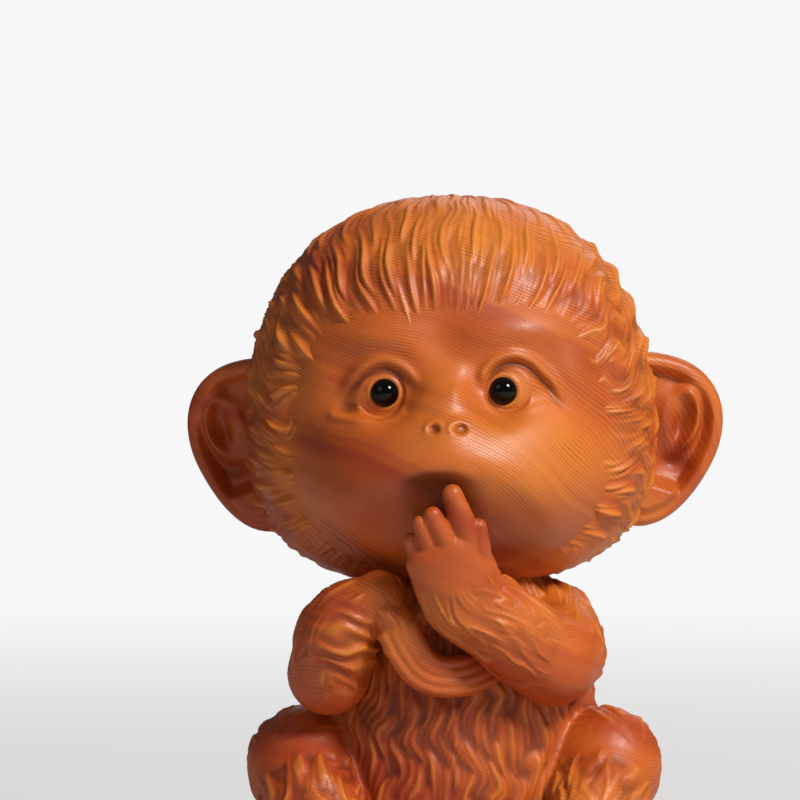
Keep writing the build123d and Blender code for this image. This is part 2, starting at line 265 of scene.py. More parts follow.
headShape = {
    "widest": 16.24, "halfWidth": 20.7, "halfDepth": 17.5, "crown": 23.36, "jaw": 16.24,
    "squareCrown": 2.25, "squareJaw": 2.7, "step": 0.8,
    "openingX": 0.3, "openingZ": 14.75, "openingHalfWidth": 16.4, "openingHalfHeight": 13.3,
    "openingSquareness": 2.7,
}


# Points on the head's egg in the given directions from its middle, drawn in by an inset:
# across and up shares of the half sizes, each raised to the squareness, add up to one.
def onHead(directions, inset):
    shape = headShape
    up = directions[..., 2] > 0
    rise = np.where(up, shape["crown"] - inset, shape["jaw"] - inset)
    square = np.where(up, shape["squareCrown"], shape["squareJaw"])
    level = np.hypot(directions[..., 0] / (shape["halfWidth"] - inset),
                     directions[..., 1] / (shape["halfDepth"] - inset))
    reach = (level ** square + (np.abs(directions[..., 2]) / rise) ** square) ** (-1 / square)
    return directions * reach[..., None] + np.array([0, 0, shape["widest"]])


# The outward direction of the head's egg, from the slope of that sum
def headNormal(points):
    shape = headShape
    x, y, height = points[..., 0], points[..., 1], points[..., 2] - shape["widest"]
    wide, deep = shape["halfWidth"], shape["halfDepth"]
    rise = np.where(height > 0, shape["crown"], shape["jaw"])
    square = np.where(height > 0, shape["squareCrown"], shape["squareJaw"])
    slope = np.maximum(np.hypot(x / wide, y / deep), 1e-6) ** (square - 2)
    upward = np.sign(height) * (np.abs(height) / rise) ** (square - 1) / rise
    normal = np.stack([slope * x / wide ** 2, slope * y / deep ** 2, upward], axis=-1)
    return normal / np.linalg.norm(normal, axis=-1, keepdims=True)


# Below zero inside the face's opening: a rounded oblong on the front of the head
def openingValue(points):
    shape = headShape
    across = np.abs(points[..., 0] - shape["openingX"]) / shape["openingHalfWidth"]
    up = np.abs(points[..., 2] - shape["openingZ"]) / shape["openingHalfHeight"]
    square = shape["openingSquareness"]
    return np.where(points[..., 1] < 0, across ** square + up ** square - 1, 9)


# Soft bumps on the face: how far each stands forward, its middle across and up, its half sizes
# across and up, and the power that makes its top flatter
faceBumps = [
    # brows under the hairline, and fainter ones at the temples
    (0.95, 8.6, 26.2, 4.6, 2.3, 2), (0.95, -7.6, 26.2, 4.8, 2.3, 2),
    (0.55, 13.0, 22.2, 2.6, 2.6, 2), (0.5, -12.6, 22.0, 2.6, 2.6, 2),
    # the hollow between the brows, and the orbits
    (-0.75, 0.2, 24.6, 2.8, 3.0, 2), (-0.95, 7.2, 20.6, 5.2, 3.6, 3), (-0.95, -7.2, 20.6, 5.2, 3.6, 3),
    # the bridge of the nose, its tip and the dip over the nostrils
    (0.60, 0.6, 19.4, 2.0, 2.6, 2), (0.5, 0.5, 16.6, 2.6, 2.0, 2),
    (0.28, 1.4, 20.2, 0.85, 0.7, 2), (-0.45, 0.3, 17.9, 3.4, 0.8, 2),
    # the hollows under and beside the mouth, and the low cheeks
    (-0.7, 0.2, 6.6, 6.5, 2.6, 2), (-1.15, 5.4, 7.6, 4.6, 2.8, 2), (-0.9, -5.8, 7.2, 4.8, 3.0, 2),
    (0.55, 10.2, 8.6, 3.4, 3.4, 2), (0.55, -9.6, 8.9, 3.4, 3.4, 2),
]

lipLook = {
    "x": 0.4, "z": 14.26, "fall": 0.40, "round": 2.0, "above": 2.9, "below": 4.2, "reach": 9.5, "stand": 0.9,
}


# How far the face stands forward of the plain skull at places across and up it: the bumps, and
# the upper lip, whose crest falls away to both sides, and which runs out more slowly below it
def faceFeatures(x, z):
    forward = sum(stand * bump(x, z, *form) for stand, *form in faceBumps)
    lip = lipLook
    aside = x - lip["x"]
    above = z - lip["z"] + lip["fall"] * np.sqrt(aside ** 2 + lip["round"])
    swell = bell(above / np.where(above > 0, lip["above"], lip["below"]))
    return forward + lip["stand"] * swell * bell(aside / lip["reach"], 3)


# One on the front of the head, falling to nothing at its sides and behind
def frontShare(x, y):
    return ease(0, -6, y) * ease(17.5, 13.5, np.abs(x))


# Fur cap

furCapLook = {
    "lines": 1536, "stations": 420, "reach": (-2.6, 5.2), "waves": 40,
    "columns": 756, "rows": 114, "spread": 1.30, "ringDepth": 7.0, "lastShare": 0.999,
    "insideSteps": (3.9, 3.5, 3.1, 2.75, 2.4, 2.05, 1.7, 1.35, 1.0, 0.7, 0.45, 0.2),
    "faceDirection": (0.02, -1.0, -0.09), "whorl": (0.03, 0.30, 1.0), "away": (0.0, 0.62, -0.80),
    "lanes": 76, "stroke": {"width": 1.0, "hook": 0.45, "sharp": 2.5}, "lastTip": -2.8,
    "fineLanes": 150, "fineLength": 5.0, "fineHeight": 0.11, "fineLastTip": -1.5,
    "fine": {"width": 0.8, "hook": 0.3, "sharp": 1.9, "tip": 0.25},
    "side": {"length": 7.0, "height": 0.80, "tip": 0.60},
    "bangs": {"length": 11.5, "height": 0.60, "tip": 0.26, "uneven": 1.5},
    "rise": 4.2, "sweep": 7.0, "wave": 0.75, "drift": 1.0, "hiddenDepth": 1.6,
    "flatter": {"whorl": 0.72, "behind": 0.25, "crown": 0.5, "jaw": 0.88, "under": 0.65},
}


# Strand lines run from a whorl on the crown to the middle of the face, as the field lines do
# between two poles. On the flat picture of the ball, seen from a far point of it, a place z has
# the label w = (z - face) / (z - whorl): its angle names the line, and its size tells how far
# along the line the place is. Gives the places on each line, their lengths along it, and the
# length at which it crosses the hairline, smoothed to its first few waves round the face.
def furLines(look):
    away = np.array(look["away"]) / np.linalg.norm(look["away"])
    first = np.cross(away, (1.0, 0, 0))
    first /= np.linalg.norm(first)
    second = np.cross(away, first)

    def flatPlace(direction):
        direction = np.array(direction) / np.linalg.norm(direction)
        return complex(direction @ first, direction @ second) / (1 - direction @ away)

    face, whorl = flatPlace(look["faceDirection"]), flatPlace(look["whorl"])
    # the small turn keeps every line off the poles' own line
    angle = np.linspace(-math.pi, math.pi, look["lines"], endpoint=False) + 0.0013
    size = np.linspace(*look["reach"], look["stations"])
    label = np.exp(size[None, :] + 1j * angle[:, None])
    flat = (face - label * whorl) / (1 - label)
    square = np.abs(flat) ** 2
    directions = (2 * flat.real[..., None] * first + 2 * flat.imag[..., None] * second
                  + (square - 1)[..., None] * away) / (square + 1)[..., None]
    points = onHead(directions, 0)
    steps = np.linalg.norm(np.diff(points, axis=1), axis=-1)
    length = np.concatenate([np.zeros((len(angle), 1)), np.cumsum(steps, axis=1)], axis=1)
    outside = openingValue(points) > 0
    start = np.array([length[k, np.argmax(outside[k])] for k in range(len(angle))])
    waves = np.fft.fft(start)[:look["waves"]]
    return points, length, np.real(np.fft.ifft(waves, len(start)) * 2) - start.mean()


# Values at new places along a line, each column of them on its own
def between(places, known, values):
    return np.stack([np.interp(places, known, column) for column in values.T], axis=-1)


def makeFurCap(look):
    points, length, start = furLines(look)

    # Places at the wanted lengths along every line, measured outwards from the hairline
    def along(lengths):
        return np.stack([between(lengths[k] + start[k], length[k], points[k]) for k in range(len(length))])

    # Columns are spread evenly over a ring some way out from the hairline
    ring = along(np.full((len(length), 1), look["ringDepth"]))[:, 0]
    steps = np.linalg.norm(np.roll(ring, -1, axis=0) - ring, axis=-1)
    around = np.concatenate([[0], np.cumsum(steps)])
    wanted = np.arange(look["columns"]) * around[-1] / look["columns"]
    share = (np.arange(look["rows"]) / (look["rows"] - 1)) ** look["spread"]
    inside = np.tile(-np.array(look["insideSteps"]), (len(length), 1))
    lengths = np.concatenate([inside, (length[:, -1:] - start[:, None]) * share * look["lastShare"]], axis=1)
    closed = np.concatenate([along(lengths), lengths[..., None]], axis=-1)
    closed = np.concatenate([closed, closed[:1]])
    even = np.stack([between(wanted, around, closed[:, row]) for row in range(closed.shape[1])], axis=1)
    grid, depth = even[..., :3], even[..., 3]
    across = (wanted / around[-1])[:, None] + 0 * depth
    print("fur lines ready, ring", round(around[-1], 1), "mm")

    # Short strokes at the sides and jaw, long soft bangs over the forehead, which end unevenly
    x, y, z = (grid[..., axis] for axis in range(3))
    hairline = grid[:, len(look["insideSteps"]), :, None]
    top = ease(21.5, 27.0, hairline[:, 2]) * (hairline[:, 1] < 0) + 0 * depth
    side, bangs = look["side"], look["bangs"]
    laneLength, tall, tip = (side[key] + (bangs[key] - side[key]) * top
                             for key in ("length", "height", "tip"))
    depth = depth + bangs["uneven"] * softNoise(8, across * 13, depth * 0, 13) * top
    # near the face the strokes bend down on both sides
    fall = np.sign(np.gradient(z, axis=0).mean(axis=1, keepdims=True) + 1e-9)
    nearFace = np.clip(np.abs(x) / 15, 0, 1) * np.exp(-np.clip(depth + 3, 0, None) / 7)
    wave = np.sin(depth / 1.7 + 4 * softNoise(3, across * 15, depth / 11, 15)) * (1 - 0.6 * top)
    drift = softNoise(5, across * 22, depth / 8, 22)
    sway = (look["wave"] * wave + look["drift"] * drift - look["sweep"] * fall * nearFace) / around[-1]
    flow = across + sway
    strokes = furStrokes(flow * look["lanes"], depth, look["lanes"], laneLength,
                         dict(look["stroke"], tip=tip), 11, look["lastTip"] * (1 - 0.72 * top))
    fine = furStrokes((flow + sway * 0.3) * look["fineLanes"], depth, look["fineLanes"],
                      look["fineLength"], look["fine"], 31, look["fineLastTip"])
    # where the strokes are lower
    toWhorl = np.linalg.norm(grid - grid[:, -1:].mean(0), axis=-1)
    flatter = {
        "whorl": ease(11.0, 3.0, toWhorl), "behind": ease(16.0, 30.0, depth),
        "crown": ease(6.0, 12.5, depth) * top, "jaw": ease(7.0, 2.5, hairline[:, 2]) * ease(12, 5, depth),
        "under": ease(5.0, 1.5, z),
    }
    for place, share in flatter.items():
        tall = tall * (1 - look["flatter"][place] * share)
    carved = tall * strokes + look["fineHeight"] * (1 - 0.5 * flatter["whorl"]) * fine - 0.30 * tall
    # at the hairline the fur comes down to the face, and further in it lies hidden under it
    down = 1 - ease(-1.8, look["rise"], depth)
    seat = (0.95 * faceFeatures(x, z) * frontShare(x, y) - headShape["step"] - 0.10) * down
    hidden = ease(-3.0, -3.6, depth)
    height = (carved + seat) * (1 - hidden) - look["hiddenDepth"] * hidden
    # rows run from under the face to the whorl
    shown = np.swapaxes(grid + headNormal(grid) * height[..., None], 0, 1)
    ends = np.array([0, -4, headShape["openingZ"]]), shown[-1].mean(axis=0)
    flat, faceSets = closedGrid(shown, *ends)
    # painted tone from the strokes: a painted highlight on their crests, paler still near the hairline, and
    # painted shade in the valleys
    tone = carved + 0.30 * tall * (1 - ease(0.0, 4.0, depth))
    relief = np.concatenate([np.swapaxes(tone, 0, 1).ravel(), [0, 0]])
    return makeObject("furCap", fromHead(flat), faceSets, relief)


furCap = makeFurCap(furCapLook)


# Face

faceLook = {
    "columns": 330, "rows": 290, "sideAngle": 66, "lowAngle": -70, "highAngle": 46,
    "muzzle": {"centre": (0, -10.9, 11.88), "half": (13.0, 10.0, 9.5), "blend": 5.0},
    "nostrils": {"x": 0.48, "z": 16.45, "pitch": 2.6, "rim": 0.80, "rimWidth": 0.22, "stand": 0.20,
                 "hole": 0.46, "depth": 0.55},
    "mouth": {"x": -0.5, "z": 10.8, "depth": 1.35, "half": 2.9, "above": 1.1, "below": 2.6},
    "foldLine": [(2.0, 12.2), (5.2, 10.6), (8.2, 8.0), (10.4, 5.2), (11.4, 3.0)], "foldDepth": 0.20,
    "mouthShade": 0.38, "chinShade": 0.26,
}

# Both eyes share the first values, and each then has its own opening, lids and lid lines
eyeLook = {
    "x": 5.95, "z": 20.0, "ball": 8.0, "front": 15.32, "lid": 0.12,
    "rim": 1.60, "rimWidth": 0.15, "rimStand": 0.11, "grooveGap": 0.92, "grooveWidth": 0.34,
    "pouchWidth": 0.42, "pocketPlace": (3.5, -1.55, 1.15, 0.62),
}
leftEye = dict(
    eyeLook, reach=1.86, swell=0.92, swellAngle=4, lidHeight=0.66, lidWidth=0.56,
    groove=0.36, pouch=0.12, pocket=0, pale=0.20,
    upper=[(3.7, 20.6), (4.1, 22.1), (5.3, 23.2), (7.0, 23.6), (8.8, 23.0), (10.5, 21.3),
           (11.9, 19.6), (13.0, 18.6)],
    lower=[(3.9, 19.3), (5.0, 18.2), (6.7, 17.8), (8.4, 18.1), (9.9, 18.6)],
)
rightEye = dict(
    eyeLook, reach=2.10, swell=0.75, swellAngle=-30, lidHeight=0.46, lidWidth=0.54,
    groove=0.30, pouch=0.38, pocket=0.60, pale=0,
    upper=[(2.6, 20.2), (3.1, 21.6), (4.2, 22.7), (5.9, 23.3), (7.6, 22.9), (9.2, 21.8), (10.9, 20.0)],
    lower=[(4.2, 18.0), (5.2, 17.5), (6.8, 17.35), (8.8, 17.4), (11.2, 17.8)],
)


# The nearest distance from places to a line of points, for places near it only
def distanceTo(x, z, line, reach):
    low, high = line.min(axis=0) - reach, line.max(axis=0) + reach
    near = (x > low[0]) & (x < high[0]) & (z > low[1]) & (z < high[1])
    distance = np.full(x.shape, float(reach))
    gaps = np.hypot(x[near][:, None] - line[:, 0], z[near][:, None] - line[:, 1])
    distance[near] = np.minimum(gaps.min(axis=1), reach)
    return distance


# A smooth curve on the face through a few places
def faceLine(places, side):
    line = smoothLine([(side * x, 0, z) for x, z in places], 16)[0]
    return line[:, [0, 2]]


# An eye: a wooden ball that shows in a rounded opening, with a thin rim round the bead. The
# opening's reach grows towards the outer corner. The upper lid is a soft ridge over the ball,
# with a groove on its inner side, and the lower lid a fainter one. Gives the face's new forward
# places and a painted tone: painted highlight on the lids, the ball and its rim, and painted shade in the
# creases.
def addEye(forward, tone, x, z, eye, side):
    out, up = (x - side * eye["x"]) * side, z - eye["z"]
    fromBead = np.hypot(out, up)
    angle = np.arctan2(up, out)
    swell = (0.5 + 0.5 * np.cos(angle - math.radians(eye["swellAngle"]))) ** 2
    signed = fromBead - eye["reach"] - eye["swell"] * swell
    ball = eye["front"] - eye["ball"] + np.sqrt(np.clip(eye["ball"] ** 2 - fromBead ** 2, 0, None))
    rim = bell((fromBead - eye["rim"]) / eye["rimWidth"])
    # the skin lies a little over the ball round the opening and runs out into the face
    near = bell(fromBead / (2.9 + 0.6 * ease(-1.5, 1.0, up)), 4)
    skin = forward * (1 - near) + (eye["front"] + eye["lid"] - 0.035 * fromBead ** 2) * near
    upperGap = distanceTo(x, z, faceLine(eye["upper"], side), 4.0)
    lowerGap = distanceTo(x, z, faceLine(eye["lower"], side), 4.0)
    lidX, lidZ = np.array(eye["upper"]).T
    below = z < np.interp(side * x, lidX, lidZ) - 0.2
    # the lid fades towards both corners
    fade = ease(lidX[-1] + 0.3, lidX[-1] - 2.4, side * x) * (0.7 + 0.3 * ease(19.6, 21.6, z))
    fade = fade * (1 - ease(22.0, 20.2, z) * ease(5.4, 4.2, side * x))
    ridge = bell(upperGap / eye["lidWidth"]) * fade
    groove = bell((upperGap - eye["grooveGap"]) / eye["grooveWidth"]) * below * fade
    pouch = eye["pouch"] * bell(lowerGap / eye["pouchWidth"])
    pocket = eye["pocket"] * bump(out, up, *eye["pocketPlace"])
    skin = skin + eye["lidHeight"] * ridge - eye["groove"] * groove + pouch - pocket
    inside = ease(0.16, -0.20, signed)
    forward = skin * (1 - inside) + (ball + eye["rimStand"] * rim) * inside
    seam = bell((signed + 0.10) / 0.18) * (0.35 + 0.65 * ease(-1.2, 0.8, up + 0.4 * out))
    # painted highlight on the lid ridge, the pouch, the ball and the rim round the bead; painted shade in the
    # groove, the pocket and the seam round the opening
    tone = tone + 0.20 * ridge - 0.34 * groove + 0.4 * pouch - 0.5 * pocket - 0.26 * seam
    return forward, tone + inside * (0.10 + eye["pale"] * swell + 0.22 * rim)


# The skull and the muzzle in one: each is the reach of a line from the head's middle, joined by
# the soft larger-of-two. The features then move the surface straight forward.
def makeFace(look):
    share = np.linspace(-1, 1, look["columns"])
    azimuth = np.radians(look["sideAngle"]) * (share + 0.6 * share ** 3) / 1.6
    elevation = np.radians(np.linspace(look["lowAngle"], look["highAngle"], look["rows"]))
    elevation, azimuth = np.meshgrid(elevation, azimuth, indexing="ij")
    directions = np.stack([np.sin(azimuth) * np.cos(elevation),
                           -np.cos(azimuth) * np.cos(elevation), np.sin(elevation)], axis=-1)
    middle = np.array([0, 0, headShape["widest"]])
    skull = np.linalg.norm(onHead(directions, headShape["step"]) - middle, axis=-1)
    muzzle = look["muzzle"]
    half = np.array(muzzle["half"])
    run = directions / half
    back = (middle - np.array(muzzle["centre"])) / half
    a, b, c = (run ** 2).sum(-1), (run * back).sum(-1), (back ** 2).sum() - 1
    root = b * b - a * c
    reach = np.where(root > 0, (-b + np.sqrt(np.clip(root, 0, None))) / a, 0)
    points = middle + directions * softMax(skull, reach, muzzle["blend"])[..., None]
    x, y, z = (points[..., axis] for axis in range(3))
    forward = -y + faceFeatures(x, z) * frontShare(x, y)
    tone = np.zeros(x.shape)
    for side, eye in ((1, leftEye), (-1, rightEye)):
        forward, tone = addEye(forward, tone, x, z, eye, side)
    plain = forward.copy()
    # each nostril is a hole with a rim that is higher on its upper side
    nostrils = look["nostrils"]
    for side in (1, -1):
        out, up = x - nostrils["x"] - side * nostrils["pitch"] / 2, z - nostrils["z"]
        wide = 1.25 + 0.12 * side
        rim = np.hypot(out / wide, up + 0.12 * out * side)
        over = 0.05 + 0.95 * ease(-0.4, 0.8, (up - 0.45 * out) / np.maximum(rim, 0.05))
        forward += nostrils["stand"] * over * bell((rim - nostrils["rim"]) / nostrils["rimWidth"])
        forward -= nostrils["depth"] * bell(np.hypot((out - 0.06) / wide, up + 0.06) / nostrils["hole"], 4)
    # the mouth's hollow is sharp under the upper lip and runs out slowly below
    mouth = look["mouth"]
    high = np.where(z < mouth["z"], mouth["below"], mouth["above"])
    forward -= mouth["depth"] * bump(x, z, mouth["x"], mouth["z"], mouth["half"], high, 2.3)
    forward -= 0.25 * bump(x, z, mouth["x"] + 0.8, mouth["z"] - 0.9, 4.8, 1.6)
    # painted tone: painted shade where the nostrils and the mouth sink in, and a painted highlight where the
    # rims stand out
    tone = tone + np.clip(forward - plain, -0.40, 0.2) * 0.5
    # a soft fold runs from the mouth's corner down and outwards
    fold = distanceTo(x, z, faceLine(look["foldLine"], 1), 4.0)
    forward -= look["foldDepth"] * bell(fold / 1.3) * ease(11.8, 8.0, x) * ease(1.5, 4.0, x)
    shown = np.stack([x, -forward, z], axis=-1)
    # painted shade: the tone is also darker in the mouth's hollow and on the chin
    high = np.where(z < mouth["z"], 2.3, 1.2)
    relief = tone - look["mouthShade"] * bump(x, z, mouth["x"] - 0.1, mouth["z"], 2.5, high)
    relief = relief - look["chinShade"] * bump(x, z, 6.0, 5.6, 7.0, 3.4)
    rows, columns = x.shape
    index = np.arange(rows * columns).reshape(rows, columns)
    border = np.concatenate([index[0, :-1], index[:-1, -1], index[-1, :0:-1], index[:0:-1, 0]])
    flat = np.concatenate([shown.reshape(-1, 3), [[0, 0, headShape["openingZ"]]]])
    faceSets = [gridFaces(rows, columns, False), fanFaces(border[::-1], rows * columns)]
    relief = np.concatenate([relief.ravel(), [0]])
    return makeObject("face", fromHead(flat), faceSets, relief)


face = makeFace(faceLook)


# Ears

earLook = {
    "around": 260, "outward": 84, "place": (20.4, 1.5, 15.25), "turns": (0, 11.0, 14.0),
    "top": 8.2, "low": 9.6, "squareTop": 2.25, "squareLow": 1.85, "thickness": 4.4,
    "rim": (2.3, 1.15), "lobe": (-3.9, -5.6), "floor": -0.20, "lobeFloor": 0.70,
    "foldX": 2.5, "foldZ": 1.9, "foldHalf": (1.75, 2.8), "crest": 1.2, "crestWidth": 0.30,
    "hollow": 0.75, "concha": 0.85, "conchaPlace": (2.7, -2.9, 1.6, 0.95),
    "swell": 0.55, "swellPlace": (0.2, 2.2, 1.5, 3.6), "relief": 0.14,
}


# The ear's outline as its reach at each angle, wider above and drawn to a lobe below
def earOutline(angle, look, halfWidth):
    across, up = np.cos(angle), np.sin(angle)
    rise = np.where(up > 0, look["top"], look["low"])
    square = np.where(up > 0, look["squareTop"], look["squareLow"])
    reach = (np.abs(across / halfWidth) ** square + np.abs(up / rise) ** square) ** (-1 / square)
    return reach * (1 + 0.03 * np.sin(3 * angle + 0.5))


# A dish by two parameters, the angle and the share from its middle to its edge. The front has a
# rolled rim, a groove, a crescent fold and a deep hollow beside the head; the back is a low
# dome. Both meet in the round edge.
def makeEar(look, name, side, halfWidth):
    angle = np.linspace(0, 2 * math.pi, look["around"], endpoint=False)
    share = np.linspace(0.02, 1, look["outward"]) ** 0.8
    reach = earOutline(angle, look, halfWidth)
    share, angle = np.meshgrid(share, angle, indexing="ij")
    x, z = reach * share * np.cos(angle), reach * share * np.sin(angle)
    toEdge = reach * (1 - share)
    half = look["thickness"] / 2
    edge = half * 0.62 * np.sqrt(1 - (1 - np.clip(toEdge, 0, 1)) ** 2)
    inRim = ease(*look["rim"], toEdge)
    lobe = ease(*look["lobe"], z + 0.15 * x)
    floor = look["floor"] * (1 - lobe) + look["lobeFloor"] * lobe
    front = edge * (0.15 + 0.85 * np.maximum(inRim, lobe)) + floor * (1 - inRim)
    # the inner fold runs round a small hollow, open towards the head
    foldWide, foldHigh = look["foldHalf"]
    fold = np.hypot((x - look["foldX"]) / foldWide, (z - look["foldZ"]) / foldHigh)
    crest = bell((fold - 1) / look["crestWidth"]) * (0.15 + 0.85 * ease(1.0, 3.2, x))
    crest = crest * (1 - 0.9 * ease(0.6, -1.8, z - look["foldZ"]) * ease(4.2, 2.2, x))
    hollow = bump(x, z, look["foldX"] + 0.25, look["foldZ"] - 0.7, 0.75, 1.7)
    concha = bump(x, z, *look["conchaPlace"])
    front = front + look["crest"] * crest + 0.62 * bell(fold / 1.2, 4)
    front = front - look["hollow"] * hollow - look["concha"] * concha
    front = front + look["swell"] * bump(x, z, *look["swellPlace"]) * (1 - inRim)
    # painted tone: a painted highlight on the fold's crest and the rim, and painted shade in the hollows and
    # the groove inside the rim
    tone = look["relief"] * (crest - hollow - concha)
    tone = tone - 0.10 * bell((toEdge - 2.15) / 0.42) * (1 - lobe)
    tone = tone + 0.08 * inRim
    bowl = half * 1.15 * np.sqrt(1 - share ** 2.2)
    back = np.where(share >= 0.999, 0, -bowl - edge * 0.25)
    frontSheet = np.stack([side * x, -front, z], axis=-1)
    backSheet = np.stack([side * x, -back, z], axis=-1)[::-1]
    rimSheet = frontSheet[-1:] * np.array([1, 0, 1])
    sheet = np.concatenate([frontSheet[:-1], rimSheet, backSheet[1:]])
    move, turns = np.array(look["place"]) * (side, 1, 1), np.array(look["turns"]) * (1, side, side)
    flat, faceSets = closedGrid(sheet, sheet[0].mean(axis=0), sheet[-1].mean(axis=0))
    # the painted shading is that of the front alone
    relief = np.zeros(len(flat))
    relief[:tone[:-1].size] = tone[:-1].ravel()
    return makeObject(name, fromHead(placed(flat, move, turns)), faceSets, relief)


leftEar = makeEar(earLook, "leftEar", 1, 7.1)
rightEar = makeEar(earLook, "rightEar", -1, 6.6)


# Limbs and body

# Two directions across each heading of a line, the first as near as it can be to the given side
def acrossLine(heading, side):
    sideways = np.array(side, float)
    sideways = sideways - (heading @ sideways)[:, None] * heading
    sideways /= np.linalg.norm(sideways, axis=1, keepdims=True)
    return sideways, np.cross(heading, sideways)


# A tapered limb: an oval carried along the line, its two half sizes eased from entry to entry,
# closed at both ends by a round cap
def makeLimb(points, widths, thicknesses=None, side=(0, 1, 0), around=40, capRings=7):
    line, heading, lengths = smoothLine(points)
    place = lengths / lengths[-1]
    knots = np.linspace(0, 1, len(widths))
    width = np.interp(place, knots, widths) / 2
    thickness = np.interp(place, knots, thicknesses or widths) / 2
    sideways, upward = acrossLine(heading, side)
    angle = np.linspace(0, 2 * math.pi, around, endpoint=False)
    rings = (line[:, None] + (thickness[:, None] * np.cos(angle))[..., None] * sideways[:, None]
             + (width[:, None] * np.sin(angle))[..., None] * upward[:, None])
    bend = np.radians(np.linspace(0, 90, capRings + 1)[1:-1])
    caps = []
    for end, way in ((0, -1), (-1, 1)):
        reach = min(width[end], thickness[end])
        middle = line[end]
        cap = np.stack([middle + (rings[end] - middle) * math.cos(turn)
                        + way * heading[end] * reach * math.sin(turn) for turn in bend])
        caps.append((cap, middle + way * heading[end] * reach))
    sheet = np.concatenate([caps[0][0][::-1], rings, caps[1][0]])
    return closedGrid(sheet, caps[0][1], caps[1][1])


# A ball drawn out to three half sizes, fuller than an ellipse where a squareness is over two
def makeEgg(middle, half, below=None, square=2.0, around=72, rings=40):
    below = below or half[2]
    turn = np.linspace(-math.pi / 2, math.pi / 2, rings + 2)[1:-1, None]
    angle = np.linspace(0, 2 * math.pi, around, endpoint=False)
    level = np.cos(turn) ** (2 / square)
    height = np.sign(turn) * np.abs(np.sin(turn)) ** (2 / square)
    height = np.where(height > 0, height * half[2], height * below) + 0 * angle
    sheet = np.stack([level * np.cos(angle) * half[0], level * np.sin(angle) * half[1], height], axis=-1)
    flat, faceSets = closedGrid(sheet, (0, 0, -below), (0, 0, half[2]))
    return flat + np.array(middle), faceSets


# One named value of every item, as an array
def readAll(items, name, width, kind):
    values = np.empty(len(items) * width, kind)
    items.foreach_get(name, values)
    return values


# Melts overlapping closed shapes into one skin and smooths it. Gives its points, the way out at
# each of them, and its faces.
def melt(name, parts, look):
    points, faces, count = [], [], 0
    for part, faceSets in parts:
        points.append(part)
        for faceSet in outward(part, faceSets):
            faces.extend((faceSet + count).tolist())
        count += len(part)
    mesh = bpy.data.meshes.new(name)
    mesh.from_pydata(np.concatenate(points).tolist(), [], faces)
    rough = addObject(name, mesh)
    remesh = rough.modifiers.new("melt", "REMESH")
    remesh.mode, remesh.voxel_size = "VOXEL", look["voxel"]
    smooth = rough.modifiers.new("smooth", "SMOOTH")
    smooth.factor, smooth.iterations = 0.5, look["smoothing"]
    done = rough.evaluated_get(bpy.context.evaluated_depsgraph_get()).to_mesh()
    flat, normals = (readAll(done.vertices, key, 3, np.float32).reshape(-1, 3).astype(float)
                     for key in ("co", "normal"))
    corners = readAll(done.loops, "vertex_index", 1, np.int32)
    sizes = readAll(done.polygons, "loop_total", 1, np.int32)
    starts = np.concatenate([[0], np.cumsum(sizes)[:-1]])
    faceSets = [corners[starts[sizes == n][:, None] + np.arange(n)] for n in np.unique(sizes)]
    rough.to_mesh_clear()
    bpy.data.objects.remove(rough)
    bpy.data.meshes.remove(mesh)
    return flat, normals, faceSets


# Where each place lies on a limb: its length along the line, its angle round it, and how far
# outside the limb's own surface it is
def limbPlace(points, line, heading, lengths, radius, side):
    nearest = np.empty(len(points), int)
    gap = np.empty(len(points))
    for first in range(0, len(points), 20000):
        part = points[first:first + 20000]
        square = ((part[:, None] - line) ** 2).sum(-1)
        nearest[first:first + 20000] = square.argmin(1)
        gap[first:first + 20000] = np.sqrt(square.min(1))
    sideways, upward = acrossLine(heading, side)
    away = points - line[nearest]
    along = (away * heading[nearest]).sum(-1)
    angle = np.arctan2((away * upward[nearest]).sum(-1), (away * sideways[nearest]).sum(-1))
    return lengths[nearest] + along, angle, gap - radius[nearest]


# Carves fur strokes along limbs. Each limb is its line, its radii from end to end, the side its
# angles are counted from, the lanes round it, how fast they wind, the way the strokes point, and
# the lengths between which it has fur, where an end is bare. Each point has the strokes of the
# limb it lies nearest to, and they fade where two limbs meet. Gives the depth of the carving.
def limbFur(points, limbs, look, seed):
    best = np.full(len(points), 1e9)
    edge = best.copy()
    carved = np.zeros(len(points))
    for number, (places, radii, side, lanes, swirl, flow, *furry) in enumerate(limbs):
        line, heading, lengths = smoothLine(places)
        radius = np.interp(lengths / lengths[-1], np.linspace(0, 1, len(radii)), radii)
        along, angle, outside = limbPlace(points, line, heading, lengths, radius, side)
        lane = angle / (2 * math.pi) * lanes + swirl * along
        lane = lane + 0.8 * softNoise(seed + number, along / 6, angle * 2 + 9)
        lane = lane + 0.35 * np.sin(along / 1.3 + 3 * softNoise(seed, angle * 3, along / 5))
        strokes = furStrokes(lane % lanes, 400 + flow * along, lanes, look["length"], look, seed + 9 * number)
        strokes = look["height"] * (strokes - 0.3)
        for low, high in furry:
            strokes = strokes * ease(low - 1.2, low + 0.6, along) * ease(high + 1.2, high - 0.6, along)
        nearer = outside < best
        edge = np.where(nearer, best - outside, np.minimum(edge, outside - best))
        carved = np.where(nearer, strokes, carved)
        best = np.minimum(best, outside)
    return carved * ease(0.0, 0.9, edge)


# The object of a melted skin, moved out by the depth of its carving, with that depth, scaled,
# as its painted shading: painted shade in the valleys and a painted highlight on the crests
def carvedObject(name, skin, carved, look):
    points, normals, faceSets = skin
    return makeObject(name, points + normals * carved[:, None], faceSets, carved * look["contrast"])


# Places on the body are shares of the torso's half width, half depth and height, and places on
# the raised hand are shares of its sizes from the mouth
torsoHalf = (14.7, 12.8, 31.4)
handSize = (8.4, 6.6, 6.6)
mouthPlace = (0, -20.85, 10.77)
mouthPoint = fromHead(np.array([mouthPlace]))[0]


